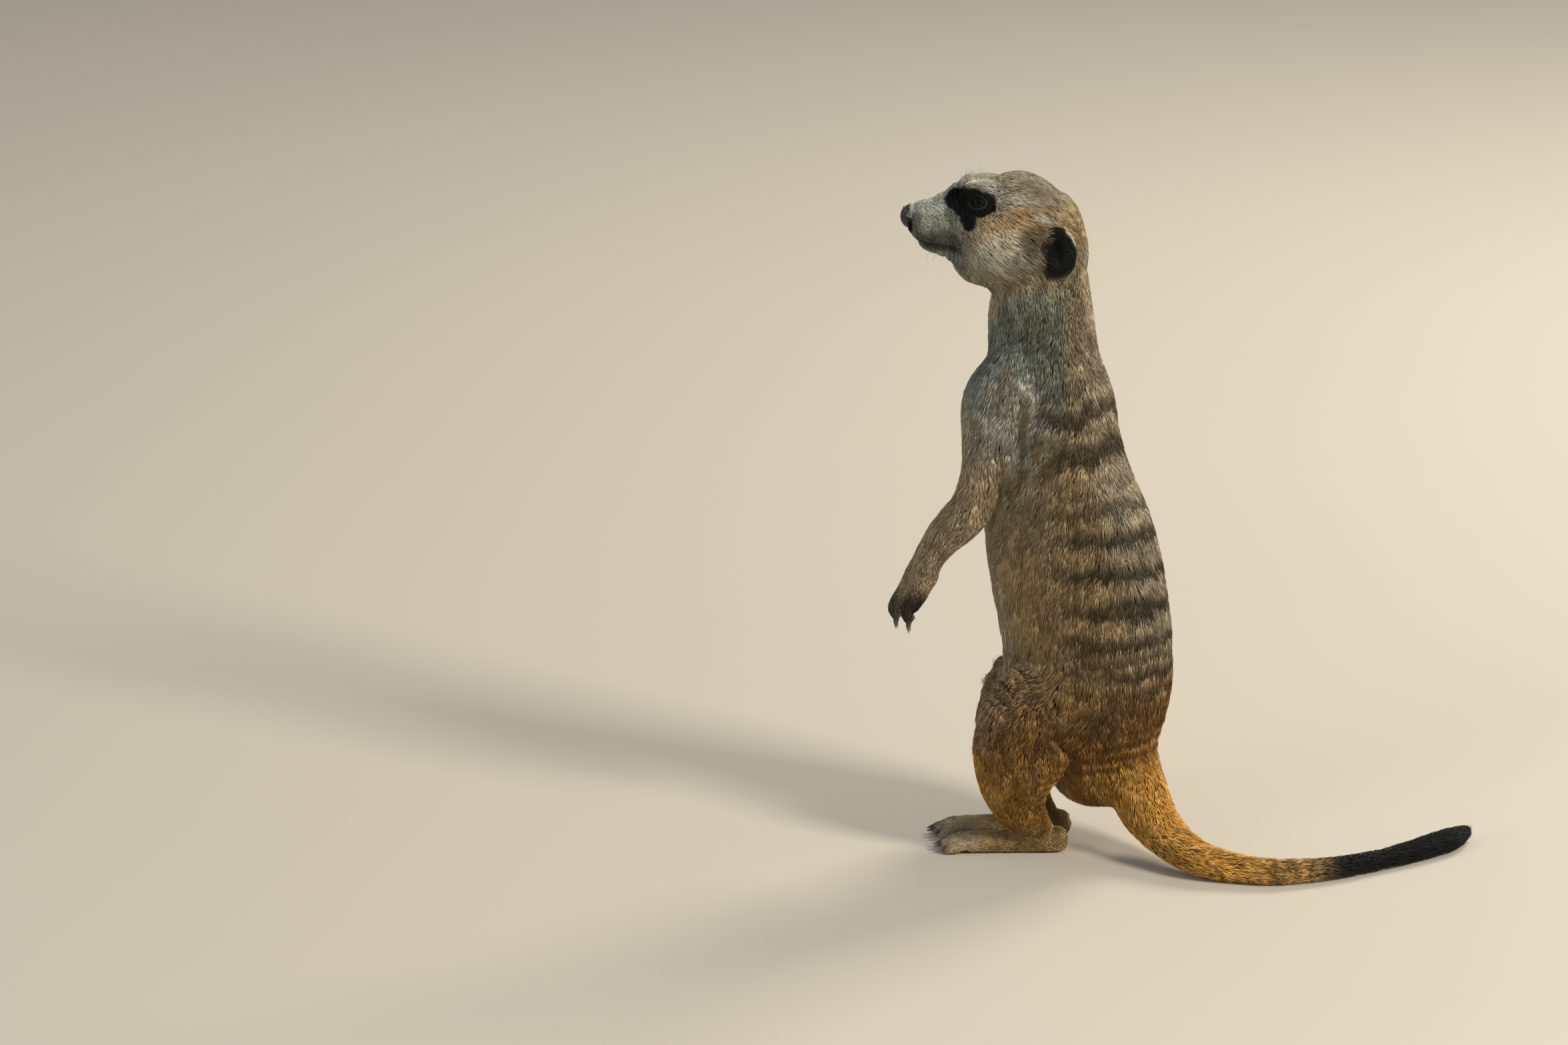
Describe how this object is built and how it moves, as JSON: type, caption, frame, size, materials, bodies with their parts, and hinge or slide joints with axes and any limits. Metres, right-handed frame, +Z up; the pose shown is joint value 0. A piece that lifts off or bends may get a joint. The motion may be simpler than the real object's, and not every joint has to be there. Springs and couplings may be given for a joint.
{
  "type": "meerkat model",
  "caption": "Life-size still model of a meerkat standing upright on its hind feet, head in profile, hands hanging in front, tail curved along the floor.",
  "frame": {"origin": "centre of the bounding box's bottom face, on the floor plane under the soles and the tail", "axes": "+Z up along the standing body, -X the way the face and the feet point, so +X runs to the back and the tail; the animal's left side is towards -Y"},
  "size_m": [0.25, 0.1072, 0.2917],
  "materials": {
    "fur": "short grizzled coat, grey-brown with dark bands over the back",
    "fur_rufous": "orange-brown coat of the lower legs and tail",
    "fur_dark": "near-black short coat of ears, hands and tail tip",
    "nose": "dark moist skin",
    "eye": "dark brown, glossy",
    "claw": "dark horn, satin"
  },
  "bodies": {
    "root": {"head": "fur", "jaw": "fur", "neck": "fur", "chest": "fur", "loin": "fur", "rump": "fur", "thigh_left": "fur", "thigh_right": "fur", "upper_arm_left": "fur", "upper_arm_right": "fur", "forearm_left": "fur", "forearm_right": "fur", "foot_left": "fur", "foot_right": "fur", "shank_left": "fur_rufous", "shank_right": "fur_rufous", "tail_root": "fur_rufous", "tail_middle": "fur_rufous", "tail_end": "fur_rufous", "ear_left": "fur_dark", "ear_right": "fur_dark", "hand_left": "fur_dark", "hand_right": "fur_dark", "tail_tip": "fur_dark", "nose": "nose", "eye_left": "eye", "eye_right": "eye", "claw_hand_left_1": "claw", "claw_hand_left_2": "claw", "claw_hand_left_3": "claw", "claw_hand_left_4": "claw", "claw_hand_right_1": "claw", "claw_hand_right_2": "claw", "claw_hand_right_3": "claw", "claw_hand_right_4": "claw", "claw_foot_left_1": "claw", "claw_foot_left_2": "claw", "claw_foot_left_3": "claw", "claw_foot_left_4": "claw", "claw_foot_right_1": "claw", "claw_foot_right_2": "claw", "claw_foot_right_3": "claw", "claw_foot_right_4": "claw"}
  },
  "joints": []
}
